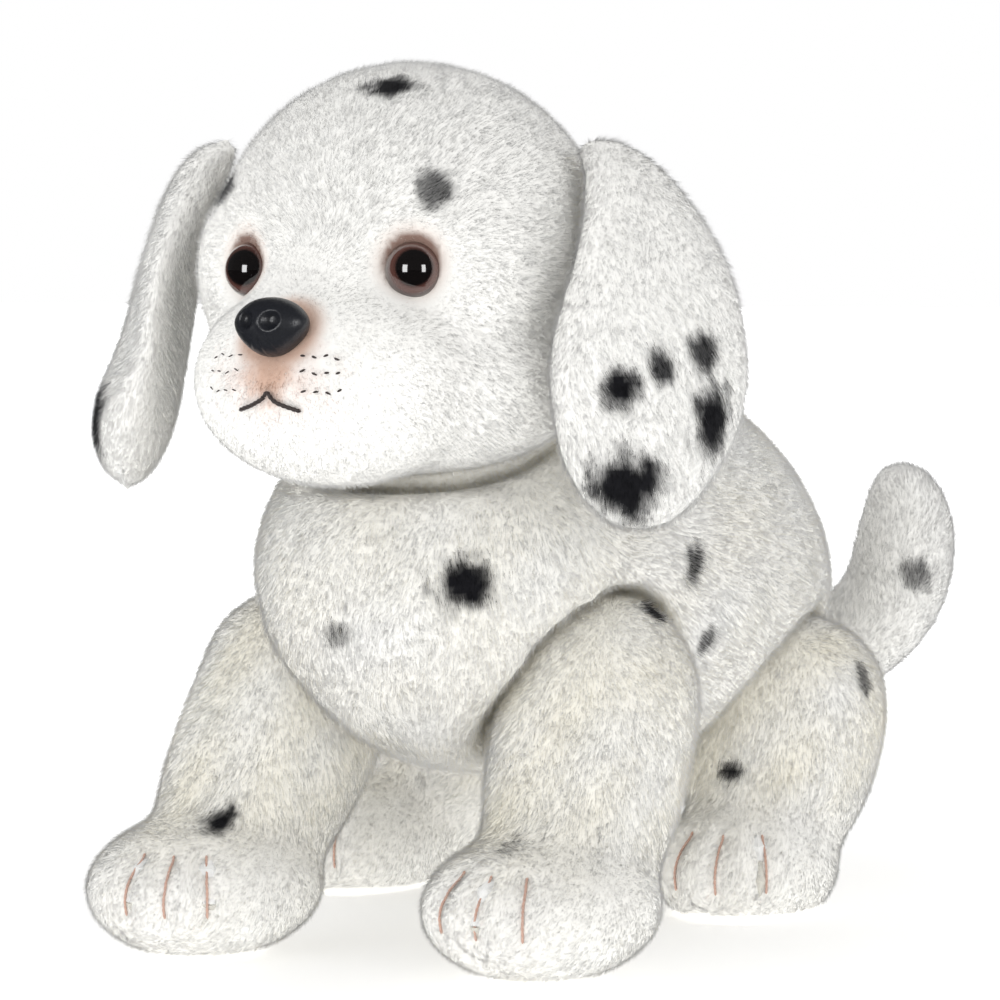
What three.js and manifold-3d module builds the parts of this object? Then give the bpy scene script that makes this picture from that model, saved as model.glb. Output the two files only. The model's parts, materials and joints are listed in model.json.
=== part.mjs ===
// A plush puppy with a soft, half-sitting stance: stuffed torso, head on a soft neck,
// two hanging ears, a tail that curls up at its left side and four stuffed legs.
// Millimetres. +Z is up, -Y is the way the puppy faces and +X is its left.
import * as THREE from "three";
import { mergeVertices } from "three/addons/utils/BufferGeometryUtils.js";
import Module from "manifold-3d";

const wasm = await Module();
wasm.setup();

// ---------- driving dimensions ----------
const FABRIC = 4; // plush cloth with its pile pressed down
const GAP = 0.5; // between pieces that touch
const MOVING_GAP = 1.2; // between pieces that turn against each other
const TAIL_GAP = 2.4; // between the tail and the rump, so that it can wag
const LEG_GAP = 4; // round a leg's top, so that it can swing
const FAR = 400; // side of a half-space block
const MERGE_TOLERANCE = 1e-3; // vertices this close are one
const MIDDLE = [-4.9, -1.1]; // middle of the puppy's footprint, which the group puts at the origin

const NECK_PIVOT = [0, -70, 160];
const NECK_BALL = 30; // the head's round root, which nods in the neck
const NECK_CUP = 44; // outer radius of the stuffed neck, which turns in the torso
const NECK_RIM = 152; // height of the neck's top edge
const NOD_ROOM = 13; // above the rim, for the head to nod
const GUSSET_HALF = 16; // half the width of the strip from nose to nape
const CHIN_HEIGHT = 168; // seam between the cheeks and the chin
const BELLY_HEIGHT = 62; // seam between the back and the belly
const SEAT_HEIGHT = 72; // top of the bean pouch in the seat
const SOLE_HEIGHT = 6; // where a sole is sewn to its leg
const PAW_BEANS_HEIGHT = 20; // top of the bean pouch in a paw

const EYE_RADIUS = 8.2;
const EYE_AT = [28, -130, 205];
const EYE_FACING = [0.36, -0.92, 0.12];
const NOSE_AT = [0, -158.5, 189];
const NOSE_RADII = [12, 8, 8.2];
const NOSE_FACING = [0, -1, 0.15];
const SHANK_RADIUS = 2.2;
const SHANK_LENGTH = 16;
const SHANK_SIDES = 6;
const WASHER_RADIUS = 7;
const WASHER_THICKNESS = 1.6;
const WASHER_DEPTH = 12; // behind the eye's or the nose's centre
const WASHER_SIDES = 8;
const THREAD_RADIUS = 0.8;
const THREAD_LIFT = 1.6; // thread centre above the smooth form that it is sewn on
const MOUTH_HALF = 10.5; // from the mouth's peak to each end
const MOUTH_PEAK = 170.5; // height of its peak
const MOUTH_DROP = 5.4; // from its peak to its ends
const TOE_ANGLES = [-34, 0, 34]; // degrees from the paw's middle to each toe stitch
const STITCH_ANGLES = [-14, 6, 26, 46]; // degrees above the paw's widest level

// Ellipsoids of the head: [x, y, z, and a radius along each axis].
const SKULL = [0, -88, 207, 65, 52, 61];
const MUZZLE = [0, -128, 173, 46, 35, 32];
const JAW = [0, -97, 174, 64, 45, 32];
// The hollow in the shoulders that the head moves in, wider than the head all round.
const HEAD_ROOMS = [
  [0, -84, 207, 70, 59, 67],
  [0, -99, 172, 73, 62, 42],
];

// Stations along each stuffed form: [x, y, z, half width, half depth].
const TORSO = [
  [0, -127, 120, 62, 56],
  [0, -88, 115, 68, 65],
  [0, -40, 113, 69, 67],
  [0, 10, 111, 72, 71],
  [0, 62, 101, 75, 70],
  [0, 128, 84, 70, 61],
];
const TORSO_FULLNESS = 2.4;
// Both ears are drawn on the left. The right one, thinner to halfway down, is then mirrored.
const EARS = {
  left: [
    [56, -84, 243, 12, 8],
    [71, -86, 231, 17, 11],
    [82, -89, 206, 27, 13],
    [84, -92, 178, 34, 15],
    [83, -94, 152, 33, 15.5],
    [82, -93, 129, 28, 14],
  ],
  right: [
    [56, -84, 243, 12, 8],
    [67, -86, 231, 17, 10],
    [74, -89, 206, 27, 8.5],
    [76, -92, 178, 33, 9],
    [82, -94, 152, 33, 14],
    [83, -93, 129, 28, 14],
  ],
};
const EAR_SIDE = new THREE.Vector3(0.5, 0.866, 0).normalize();
const RIGHT_EAR_SHIFT = [-4, -8, 2]; // the right ear is sewn on further out and forward
const RIGHT_EAR_FLARE = 4; // degrees that it stands out further than the left
const TAIL = [
  [6, 108, 72, 19, 19],
  [26, 132, 72, 20, 20],
  [45, 144, 90, 20, 20],
  [52, 144, 116, 21, 21],
  [50, 139, 142, 21, 21],
];

// Each leg: the point it swings about, its paw's ellipsoid and the column or haunch above it.
const LEGS = {
  front_left: {
    hip: [49, -56, 80],
    foot: [50, -95, 20],
    reach: [37, 42, 24],
    column: [
      [49, -50, 110, 25, 28],
      [50, -58, 88, 32, 35],
      [50, -68, 62, 32, 34],
      [50, -77, 34, 31, 32],
      [50, -81, 6, 28, 30],
    ],
  },
  front_right: {
    hip: [-49, -66, 80],
    foot: [-56, -116, 20],
    reach: [37, 42, 24],
    column: [
      [-49, -60, 110, 25, 28],
      [-50, -68, 88, 32, 35],
      [-52, -83, 62, 32, 34],
      [-56, -98, 34, 31, 32],
      [-56, -102, 6, 28, 30],
    ],
  },
  hind_left: {
    hip: [46, 60, 56],
    foot: [49, 34, 14],
    reach: [30, 40, 25],
    column: [
      [46, 66, 95, 29, 32],
      [48, 62, 70, 35, 41],
      [48, 54, 38, 33, 38],
      [49, 46, 8, 28, 34],
    ],
  },
  hind_right: {
    hip: [-46, 56, 56],
    foot: [-84, 12, 14],
    reach: [30, 40, 25],
    column: [
      [-46, 62, 92, 28, 30],
      [-52, 58, 68, 34, 40],
      [-67, 46, 38, 33, 38],
      [-82, 34, 8, 29, 35],
    ],
  },
};
const LEG_FULLNESS = 2.6;
const LEG_NAMES = Object.keys(LEGS);

const X = new THREE.Vector3(1, 0, 0);
const Y = new THREE.Vector3(0, 1, 0);
const Z = new THREE.Vector3(0, 0, 1);
const ORIGIN = new THREE.Vector2(0, 0);

// ---------- materials ----------
const material = (color, roughness) =>
  new THREE.MeshStandardMaterial({ color, roughness, metalness: 0 });
const FINISH = {
  plush: material(0xf1efe8, 1),
  stuffing: material(0xf7f7f4, 1),
  pouch: material(0xd9d6cc, 0.8),
  iris: material(0x3a211c, 0.08),
  washer: material(0xe8e8e6, 0.5),
  nose: material(0x23252b, 0.45),
  dark_thread: material(0x2a201d, 0.8),
  toe_thread: material(0xc9a695, 0.9),
};

// ---------- solids ----------
// How finely a soft form is faceted, outside and where its cloth's back lies.
const FACETS = { around: 12, along: 8 };
const LINING_FACETS = { around: 8, along: 6 };

// A three.js geometry as a manifold-3d solid, with its shared vertices merged.
function solidOf(geometry) {
  const bare = geometry.index ? geometry.toNonIndexed() : geometry.clone();
  bare.deleteAttribute("normal");
  bare.deleteAttribute("uv");
  const merged = mergeVertices(bare, MERGE_TOLERANCE);
  return new wasm.Manifold(
    new wasm.Mesh({
      numProp: 3,
      vertProperties: merged.attributes.position.array,
      triVerts: new Uint32Array(merged.index.array),
    }),
  );
}

// A block with its low corner and high corner given.
function block(low, high) {
  const size = high.map((h, i) => h - low[i]);
  const middle = high.map((h, i) => (h + low[i]) / 2);
  return solidOf(new THREE.BoxGeometry(...size)).translate(middle);
}

const ball = (centre, radius) => ellipsoid(centre, [radius, radius, radius]);

// All that lies on the side of a point that the normal points to.
function halfSpace(point, normal) {
  const turn = new THREE.Quaternion().setFromUnitVectors(Z, normal);
  const geometry = new THREE.BoxGeometry(FAR, FAR, FAR).translate(0, 0, FAR / 2);
  return solidOf(geometry.applyQuaternion(turn)).translate(point);
}

const above = (z) => block([-FAR, -FAR, z], [FAR, FAR, FAR]);
const below = (z) => block([-FAR, -FAR, -FAR], [FAR, FAR, z]);
const leftOf = (x) => block([x, -FAR, -FAR], [FAR, FAR, FAR]);
const rightOf = (x) => block([-FAR, -FAR, -FAR], [x, FAR, FAR]);
const join = (solids) => solids.reduce((sum, s) => sum.add(s));

// A stuffed form: a sphere whose rings are laid along a spine, so both ends are round.
// Each station is [x, y, z, half width along side, half depth across it]. inset shrinks it.
function softForm(stations, inset = 0, options = {}) {
  const { side = X, fullness = 2.3 } = options;
  const { around, along } = { ...(inset > 0 ? LINING_FACETS : FACETS), ...options };
  const spine = new THREE.CatmullRomCurve3(
    stations.map(([x, y, z]) => new THREE.Vector3(x, y, z)),
    false,
    "centripetal",
  );
  const girth = new THREE.CatmullRomCurve3(
    stations.map(([, , , wide, deep], i) => new THREE.Vector3(wide, deep, i)),
    false,
    "catmullrom",
    0.5,
  );
  const shortening = inset / spine.getLength();
  const geometry = new THREE.SphereGeometry(1, around, along);
  const points = geometry.attributes.position;
  const across = new THREE.Vector3();
  const depth = new THREE.Vector3();
  for (let i = 0; i < points.count; i++) {
    const share = (1 - points.getY(i)) / 2;
    const ring = Math.hypot(points.getX(i), points.getZ(i)) || 1;
    const cap = (1 - Math.abs(1 - 2 * share) ** fullness) ** (1 / fullness);
    const at = THREE.MathUtils.clamp(shortening + share * (1 - 2 * shortening), 0, 1);
    const beyond = shortening + share * (1 - 2 * shortening) - at;
    const tangent = spine.getTangent(at);
    const radii = girth.getPoint(at);
    across.copy(side).addScaledVector(tangent, -side.dot(tangent)).normalize();
    depth.crossVectors(tangent, across);
    const place = spine.getPoint(at);
    place.addScaledVector(tangent, beyond * spine.getLength());
    place.addScaledVector(across, (points.getX(i) / ring) * cap * (radii.x - inset));
    place.addScaledVector(depth, (points.getZ(i) / ring) * cap * (radii.y - inset));
    points.setXYZ(i, place.x, place.y, place.z);
  }
  return solidOf(geometry);
}

function ellipsoid(centre, radii, inset = 0) {
  const { around, along } = inset > 0 ? LINING_FACETS : FACETS;
  const geometry = new THREE.SphereGeometry(1, around, along);
  geometry.rotateX(Math.PI / 2);
  geometry.scale(...radii.map((r) => r - inset));
  return solidOf(geometry).translate(centre);
}

// A solid turned about an axis through a point, in degrees.
function turned(solid, point, axis, degrees) {
  const about = new THREE.Matrix4().makeRotationAxis(axis, THREE.MathUtils.degToRad(degrees));
  const there = new THREE.Matrix4().makeTranslation(...point);
  const back = new THREE.Matrix4().makeTranslation(...point.map((p) => -p));
  return solid.transform(there.multiply(about).multiply(back).elements);
}

// A thread along a list of points.
function threadAlong(points) {
  const corner = new THREE.Vector2(THREAD_RADIUS, 0);
  const corners = [0, 1, 2, 3].map((i) => corner.clone().rotateAround(ORIGIN, (i * Math.PI) / 2));
  const path = new THREE.CatmullRomCurve3(points.map((p) => new THREE.Vector3(...p)));
  const extrusion = { steps: points.length * 2, extrudePath: path };
  return solidOf(new THREE.ExtrudeGeometry(new THREE.Shape(corners), extrusion));
}

// ---------- the scene graph ----------
const dog = new THREE.Group();
dog.position.set(...MIDDLE.map((c) => -c), 0);
const bodies = {};

// One group for each body that moves, placed at its joint.
function body(name, pivot) {
  const group = new THREE.Group();
  group.position.set(...pivot);
  group.userData.body = name;
  bodies[name] = group;
  dog.add(group);
  return group;
}

// Adds a solid as a named mesh of a body.
function part(bodyName, name, solid, finish) {
  const group = bodies[bodyName];
  const { numProp, vertProperties, triVerts, numVert } = solid
    .translate(group.position.toArray().map((c) => -c))
    .getMesh();
  const places = new Float32Array(numVert * 3);
  for (let i = 0; i < numVert; i++)
    places.set(vertProperties.subarray(i * numProp, i * numProp + 3), i * 3);
  const geometry = new THREE.BufferGeometry();
  geometry.setAttribute("position", new THREE.BufferAttribute(places, 3));
  geometry.setIndex(new THREE.BufferAttribute(triVerts, 1));
  const mesh = new THREE.Mesh(geometry, FINISH[finish]);
  mesh.name = name;
  group.add(mesh);
}

// ---------- outer forms, each with an inset that shrinks it ----------
const torsoForm = (inset) => softForm(TORSO, inset, { fullness: TORSO_FULLNESS });
const earForm = (stations, inset) => softForm(stations, inset, { side: EAR_SIDE });
const tailForm = (inset) => softForm(TAIL, inset);
const columnForm = (name, inset) => softForm(LEGS[name].column, inset, { fullness: LEG_FULLNESS });
const headForm = (inset) =>
  join([SKULL, MUZZLE, JAW].map(([x, y, z, ...radii]) => ellipsoid([x, y, z], radii, inset)));

function legForm(name, inset) {
  const { foot, reach } = LEGS[name];
  return columnForm(name, inset).add(ellipsoid(foot, reach, inset)).subtract(below(inset));
}

// ---------- pieces ----------
function addTorso() {
  body("torso", [0, 0, 90]);
  const room = (spare) =>
    join([
      ...LEG_NAMES.map((name) => columnForm(name, -LEG_GAP - spare)),
      ...HEAD_ROOMS.map(([x, y, z, ...radii]) => ellipsoid([x, y, z], radii, -spare)),
      ball(NECK_PIVOT, NECK_CUP + MOVING_GAP + spare),
    ]);
  const skin = torsoForm(0).subtract(torsoForm(FABRIC)).subtract(room(0));
  const back = skin.intersect(above(BELLY_HEIGHT + GAP / 2));
  part("torso", "back_panel_left", back.intersect(leftOf(GAP / 2)), "plush");
  part("torso", "back_panel_right", back.intersect(rightOf(-GAP / 2)), "plush");
  part("torso", "belly_panel", skin.intersect(below(BELLY_HEIGHT - GAP / 2)), "plush");
  const filling = torsoForm(FABRIC + GAP).subtract(room(GAP));
  part("torso", "torso_stuffing", filling.intersect(above(SEAT_HEIGHT + GAP / 2)), "stuffing");
  part("torso", "seat_bean_pouch", filling.intersect(below(SEAT_HEIGHT - GAP / 2)), "pouch");
}

function addNeck() {
  body("neck", NECK_PIVOT);
  const cup = ball(NECK_PIVOT, NECK_CUP);
  const socket = ball(NECK_PIVOT, NECK_BALL + MOVING_GAP);
  const lining = ball(NECK_PIVOT, NECK_CUP - FABRIC);
  const filling = ball(NECK_PIVOT, NECK_CUP - FABRIC - GAP).subtract(socket);
  part("neck", "neck_skin", cup.subtract(lining).intersect(below(NECK_RIM)), "plush");
  part("neck", "neck_stuffing", filling.intersect(below(NECK_RIM)), "stuffing");
}

// The turn that points +Y into the head, away from where a button faces.
function inward(facing) {
  const back = new THREE.Vector3(...facing).normalize().negate();
  return new THREE.Quaternion().setFromUnitVectors(Y, back);
}

// A round button on a shank, as a safety eye or nose has, and the room that it needs.
function buttonOn(centre, radii, facing, spare = 0) {
  const radius = SHANK_RADIUS + spare;
  const shank = new THREE.CylinderGeometry(radius, radius, SHANK_LENGTH, SHANK_SIDES);
  shank.translate(0, SHANK_LENGTH / 2, 0).applyQuaternion(inward(facing));
  return ellipsoid(centre, radii, -spare).add(solidOf(shank).translate(centre));
}

function washerOn(centre, facing, spare = 0) {
  const inner = SHANK_RADIUS + GAP - spare;
  const outer = WASHER_RADIUS + spare;
  const half = WASHER_THICKNESS / 2 + spare;
  const profile = [
    [inner, -half],
    [outer, -half],
    [outer, half],
    [inner, half],
    [inner, -half],
  ].map(([r, y]) => new THREE.Vector2(r, y));
  const ring = new THREE.LatheGeometry(profile, WASHER_SIDES).translate(0, WASHER_DEPTH, 0);
  return solidOf(ring.applyQuaternion(inward(facing))).translate(centre);
}

// A point just in front of the muzzle, at this place across it and this height.
function onMuzzle(x, z) {
  const [cx, cy, cz, rx, ry, rz] = MUZZLE;
  const left = 1 - ((x - cx) / rx) ** 2 - ((z - cz) / rz) ** 2;
  return [x, cy - (ry + THREAD_LIFT) * Math.sqrt(left), z];
}

// The mouth is one stitch down each side of its peak.
function mouthThread() {
  const shares = [-1, -0.6, 0, 0.6, 1];
  const points = shares.map((share) =>
    onMuzzle(share * MOUTH_HALF, MOUTH_PEAK - MOUTH_DROP * share ** 2),
  );
  return threadAlong(points);
}

function addHead() {
  body("head", NECK_PIVOT);
  const mirrored = ([x, y, z]) => [-x, y, z];
  const eyeRadii = [EYE_RADIUS, EYE_RADIUS, EYE_RADIUS];
  const buttons = [
    { name: "eye_left", at: EYE_AT, radii: eyeRadii, facing: EYE_FACING, finish: "iris" },
    {
      name: "eye_right",
      at: mirrored(EYE_AT),
      radii: eyeRadii,
      facing: mirrored(EYE_FACING),
      finish: "iris",
    },
    { name: "nose", at: NOSE_AT, radii: NOSE_RADII, facing: NOSE_FACING, finish: "nose" },
  ];
  for (const { name, at, radii, facing, finish } of buttons) {
    part("head", name, buttonOn(at, radii, facing), finish);
    part("head", `${name}_washer`, washerOn(at, facing), "washer");
  }
  const buttonRoom = join(buttons.map(({ at, radii, facing }) => buttonOn(at, radii, facing, GAP)));
  const washerRoom = join(buttons.map(({ at, facing }) => washerOn(at, facing, GAP)));
  const neckRoom = ball(NECK_PIVOT, NECK_CUP + MOVING_GAP).intersect(below(NECK_RIM + NOD_ROOM));
  const cloth = headForm(0).subtract(headForm(FABRIC));
  const skin = cloth.subtract(neckRoom).subtract(buttonRoom);
  const upper = skin.intersect(above(CHIN_HEIGHT + GAP / 2));
  part("head", "head_side_left", upper.intersect(leftOf(GUSSET_HALF + GAP / 2)), "plush");
  part("head", "head_side_right", upper.intersect(rightOf(-GUSSET_HALF - GAP / 2)), "plush");
  const strip = leftOf(-GUSSET_HALF + GAP / 2).intersect(rightOf(GUSSET_HALF - GAP / 2));
  part("head", "head_gusset", upper.intersect(strip), "plush");
  part("head", "chin_panel", skin.intersect(below(CHIN_HEIGHT - GAP / 2)), "plush");
  const hollow = neckRoom.add(buttonRoom).add(washerRoom);
  const filling = headForm(FABRIC + GAP).subtract(hollow);
  const inside = headForm(FABRIC + 2 * GAP).add(below(NECK_RIM));
  const root = ball(NECK_PIVOT, NECK_BALL).intersect(inside);
  part("head", "head_stuffing", filling.add(root), "stuffing");
  part("head", "mouth_thread", mouthThread(), "dark_thread");
}

// All that lies on the head's side of the sheet down the middle of an ear, as drawn on the left.
function innerEarHalf(stations, shift) {
  const outward = new THREE.Vector3(EAR_SIDE.y, -EAR_SIDE.x, 0);
  const middle = stations.map(([x, y, z]) => [x * outward.x + y * outward.y + shift, z]);
  const [first, last] = [middle[0], middle[middle.length - 1]];
  const outline = [[-FAR, FAR], [first[0], FAR], ...middle, [last[0], -FAR], [-FAR, -FAR]];
  const shape = new THREE.Shape(outline.map(([u, z]) => new THREE.Vector2(u, z)).reverse());
  const geometry = new THREE.ExtrudeGeometry(shape, { depth: FAR, bevelEnabled: false });
  geometry.translate(0, 0, -FAR / 2);
  const basis = new THREE.Matrix4().makeBasis(
    outward,
    new THREE.Vector3(0, 0, 1),
    EAR_SIDE.clone().negate(),
  );
  return solidOf(geometry.applyMatrix4(basis));
}

function addEar(side) {
  const name = "ear_" + side;
  const stations = EARS[side];
  const [x, y, z] = stations[0];
  const sewnAt = side === "left" ? [x, y, z] : [-x, y, z].map((c, i) => c + RIGHT_EAR_SHIFT[i]);
  const hinge = EAR_SIDE.clone().setX(-EAR_SIDE.x);
  const mirror = (solid) => solid.mirror([1, 0, 0]).translate(RIGHT_EAR_SHIFT);
  const place = (solid) =>
    side === "left" ? solid : turned(mirror(solid), sewnAt, hinge, RIGHT_EAR_FLARE);
  const skin = earForm(stations, 0).subtract(earForm(stations, FABRIC));
  const outer = skin.subtract(innerEarHalf(stations, GAP / 2));
  const inner = skin.intersect(innerEarHalf(stations, -GAP / 2));
  body(name, sewnAt);
  part(name, `${name}_outer_panel`, place(outer), "plush");
  part(name, `${name}_inner_panel`, place(inner), "plush");
  part(name, `${name}_wadding`, place(earForm(stations, FABRIC + GAP)), "stuffing");
}

function addTail() {
  body("tail", TAIL[0]);
  const root = new THREE.Vector3(...TAIL[0]);
  const along = new THREE.Vector3(...TAIL[TAIL.length - 1]).sub(root).setZ(0).normalize();
  const normal = new THREE.Vector3(-along.y, along.x, 0);
  const torsoRoom = torsoForm(-TAIL_GAP);
  const skin = tailForm(0).subtract(tailForm(FABRIC)).subtract(torsoRoom);
  const seam = (shift) => root.clone().addScaledVector(normal, shift).toArray();
  const backHalf = halfSpace(seam(GAP / 2), normal);
  const frontHalf = halfSpace(seam(-GAP / 2), normal.clone().negate());
  part("tail", "tail_back_panel", skin.intersect(backHalf), "plush");
  part("tail", "tail_front_panel", skin.intersect(frontHalf), "plush");
  part("tail", "tail_stuffing", tailForm(FABRIC + GAP).subtract(torsoRoom), "stuffing");
}

// Three stitches between four toes, as one thread that runs up, down and up again.
function toeThread(name) {
  const { foot, reach } = LEGS[name];
  const points = TOE_ANGLES.flatMap((turn, i) => {
    const rise = i % 2 ? [...STITCH_ANGLES].reverse() : STITCH_ANGLES;
    return rise.map((height) => {
      const [a, h] = [turn, height].map(THREE.MathUtils.degToRad);
      const direction = [Math.sin(a) * Math.cos(h), -Math.cos(a) * Math.cos(h), Math.sin(h)];
      return direction.map((d, k) => foot[k] + d * (reach[k] + THREAD_LIFT));
    });
  });
  return threadAlong(points);
}

function addLeg(name) {
  const { hip, foot } = LEGS[name];
  body(name, hip);
  // The seams run down the leg's middle, fore and aft, so the outer panel faces away from the body.
  const seamNormal = new THREE.Vector3(hip[2] - foot[2], 0, foot[0] - hip[0]).normalize();
  const outward = seamNormal.multiplyScalar(Math.sign(hip[0]));
  const seam = (shift) => hip.map((c, i) => c + shift * outward.getComponent(i));
  const outerSide = halfSpace(seam(GAP / 2), outward);
  const innerSide = halfSpace(seam(-GAP / 2), outward.clone().negate());
  const skin = legForm(name, 0).subtract(legForm(name, FABRIC));
  const wall = skin.intersect(above(SOLE_HEIGHT + GAP / 2));
  part(name, `${name}_outer_panel`, wall.intersect(outerSide), "plush");
  part(name, `${name}_inner_panel`, wall.intersect(innerSide), "plush");
  part(name, `${name}_sole`, skin.intersect(below(SOLE_HEIGHT - GAP / 2)), "plush");
  const filling = legForm(name, FABRIC + GAP);
  const beans = filling.intersect(below(PAW_BEANS_HEIGHT - GAP / 2));
  part(name, `${name}_stuffing`, filling.intersect(above(PAW_BEANS_HEIGHT + GAP / 2)), "stuffing");
  part(name, `${name}_bean_pouch`, beans, "pouch");
  part(name, `${name}_toe_thread`, toeThread(name), "toe_thread");
}

// ---------- assembly ----------
addTorso();
addNeck();
addHead();
addEar("left");
addEar("right");
addTail();
LEG_NAMES.forEach(addLeg);

export default dog;
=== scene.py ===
"""Plush spotted puppy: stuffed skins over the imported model, their pile, the face and a pale studio."""

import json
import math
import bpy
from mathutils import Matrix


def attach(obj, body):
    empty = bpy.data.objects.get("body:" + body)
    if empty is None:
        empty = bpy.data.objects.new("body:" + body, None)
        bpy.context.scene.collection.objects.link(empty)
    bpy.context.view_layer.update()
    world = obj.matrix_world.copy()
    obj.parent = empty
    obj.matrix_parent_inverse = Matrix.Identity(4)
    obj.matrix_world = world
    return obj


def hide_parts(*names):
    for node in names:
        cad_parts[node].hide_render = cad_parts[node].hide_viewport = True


bl_info = {
    "name": "Plush Puppy",
    "version": (1, 0, 0),
    "blender": (4, 5, 0),
    "location": "View3D > Sidebar > Puppy",
    "description": "Builds a spotted plush puppy piece by piece over its packed frame",
    "category": "Object",
}

import bpy
import numpy as np
from bpy.props import FloatProperty, FloatVectorProperty, IntProperty, PointerProperty
from bpy.types import Operator, Panel, PropertyGroup
from mathutils import Vector
from mathutils.bvhtree import BVHTree

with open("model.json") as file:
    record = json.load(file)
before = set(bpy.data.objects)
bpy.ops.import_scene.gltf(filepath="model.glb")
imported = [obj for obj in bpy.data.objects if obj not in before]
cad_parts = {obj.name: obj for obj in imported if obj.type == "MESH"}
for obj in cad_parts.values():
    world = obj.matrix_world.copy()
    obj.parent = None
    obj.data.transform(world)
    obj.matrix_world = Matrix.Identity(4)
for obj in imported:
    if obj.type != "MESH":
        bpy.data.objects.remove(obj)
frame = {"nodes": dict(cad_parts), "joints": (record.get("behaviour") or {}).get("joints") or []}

MM = 0.001
JOINTS = {joint["name"]: joint for joint in frame["joints"]}
# The pattern is drawn in millimetres about the puppy's plane of symmetry, from the floor up.
PIVOT_IN_PATTERN = np.array((0, -70, 160))
PATTERN_ZERO = np.array(JOINTS["head_turn"]["pos_m"]) - PIVOT_IN_PATTERN * MM
AIM = (0, -38, 134)  # what the camera looks at, in the pattern
LAMP_AIM_HEIGHT = 0.12  # metres
LAMP_DISTANCE = 1.6  # metres
SKINS = {}  # body name to its skin object, filled in as the skins are made


def in_frame(points):
    """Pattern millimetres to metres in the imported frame."""
    return np.asarray(points, float) * MM + PATTERN_ZERO


def in_pattern(points):
    return (np.asarray(points, float) - PATTERN_ZERO) / MM


# ---------- what a user would change ----------


def colour_property(name, description, rgb):
    return FloatVectorProperty(
        name=name, description=description, default=rgb, subtype="COLOR", size=3, min=0, max=1
    )


def linear(hex_colour):
    """An sRGB hex colour as linear red, green and blue."""
    parts = [int(hex_colour[i : i + 2], 16) / 255 for i in (1, 3, 5)]
    return tuple(p / 12.92 if p <= 0.04045 else ((p + 0.055) / 1.055) ** 2.4 for p in parts)


class PuppyCloth(PropertyGroup):
    """Sizes of the plush cloth and its filling."""

    skin_depth: FloatProperty(
        name="Skin depth", description="How far the cloth's back lies under the pile's mean surface",
        default=0.0026, unit="LENGTH",
    )
    voxel: FloatProperty(
        name="Cloth grid", description="Grid of the cloth before it is filled", default=0.0045, unit="LENGTH"
    )
    pressure: FloatProperty(name="Filling pressure", description="How hard the filling pushes", default=4.0)
    swell: FloatProperty(
        name="Largest swell", description="How far the filling may push a point", default=0.003, unit="LENGTH"
    )
    pile_length: FloatProperty(name="Pile length", description="Body pile", default=0.0034, unit="LENGTH")
    pile_width: FloatProperty(name="Tuft width", description="At its root", default=0.00011, unit="LENGTH")
    pile_density: FloatProperty(name="Pile density", description="Tufts on a square millimetre", default=3.0)
    lean: FloatProperty(
        name="Lean", description="Of the pile from upright", default=math.radians(66), subtype="ANGLE"
    )
    seed: IntProperty(name="Seed", description="Of every random draw", default=7)


class PuppyColours(PropertyGroup):
    """Colours of the pile and the fittings."""

    white: colour_property("White pile", "Most of the puppy", linear("#f8f8f7"))
    warm: colour_property("Warm pile", "Fibres among the white", linear("#f7f6f2"))
    # Cream pile: the legs' and the body's own tint, and painted shade on the tufts in the creases.
    cream: colour_property("Cream pile", "In the creases and on the legs", linear("#f5f0e0"))
    black: colour_property("Black pile", "Spots", linear("#17171b"))
    grey: colour_property("Grey pile", "Soft edges of the spots", linear("#77757a"))
    tan: colour_property("Tan pile", "Airbrushed about the nose and the eyes", linear("#c8a18a"))
    brown: colour_property("Brown pile", "Rims of the eyes", linear("#6b4331"))
    pink: colour_property("Pink pile", "Between the toes", linear("#e3bdaf"))
    iris: colour_property("Iris", "Ring round the pupil", linear("#583a34"))
    nose: colour_property("Nose", "Moulded nose", linear("#1e2026"))
    mouth: colour_property("Mouth thread", "Embroidered mouth", linear("#33231f"))
    toe: colour_property("Toe thread", "Stitches between the toes", linear("#cfa795"))


class PuppyStage(PropertyGroup):
    """The studio."""

    azimuth: FloatProperty(
        name="Azimuth", description="Of the camera", default=math.radians(32), subtype="ANGLE"
    )
    elevation: FloatProperty(
        name="Elevation", description="Of the camera", default=math.radians(3.6), subtype="ANGLE"
    )
    distance: FloatProperty(name="Distance", description="Camera to aim", default=1.1, unit="LENGTH")
    seen_height: FloatProperty(
        name="Seen height", description="Height of the view at the aim", default=0.31, unit="LENGTH"
    )
    dome: FloatProperty(name="Dome light", description="Strength of the white surroundings", default=0.86)
    key: FloatProperty(name="Key light", description="Power of each softbox in watts", default=1.5)
    floor: colour_property("Floor", "Pale floor", linear("#fbfbfb"))


def cloth():
    return bpy.context.scene.puppy_cloth


def colours():
    return bpy.context.scene.puppy_colours


def studio():
    return bpy.context.scene.puppy_stage


def facing_in(azimuth, elevation):
    """The way back from the puppy to something in the studio, and how that turns to face the puppy."""
    level = math.cos(elevation)
    back = Vector((math.sin(azimuth) * level, -math.cos(azimuth) * level, math.sin(elevation)))
    return back, (-back).to_track_quat("-Z", "Y")


# ---------- materials ----------


def add_node(tree, kind, settings=None, links=None, **sockets):
    """A node with its settings, its socket values and links into it from (node, socket) pairs."""
    node = tree.nodes.new(kind)
    for name, value in (settings or {}).items():
        setattr(node, name, value)
    for name, value in sockets.items():
        node.inputs[name.replace("_", " ")].default_value = value
    for name, (source, socket) in (links or {}).items():
        tree.links.new(source.outputs[socket], node.inputs[name])
    return node


def new_material(name):
    material = bpy.data.materials.new(name)
    material.use_nodes = True
    material.node_tree.nodes.clear()
    return material, material.node_tree


def opaque(colour):
    return (*colour, 1.0)


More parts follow.
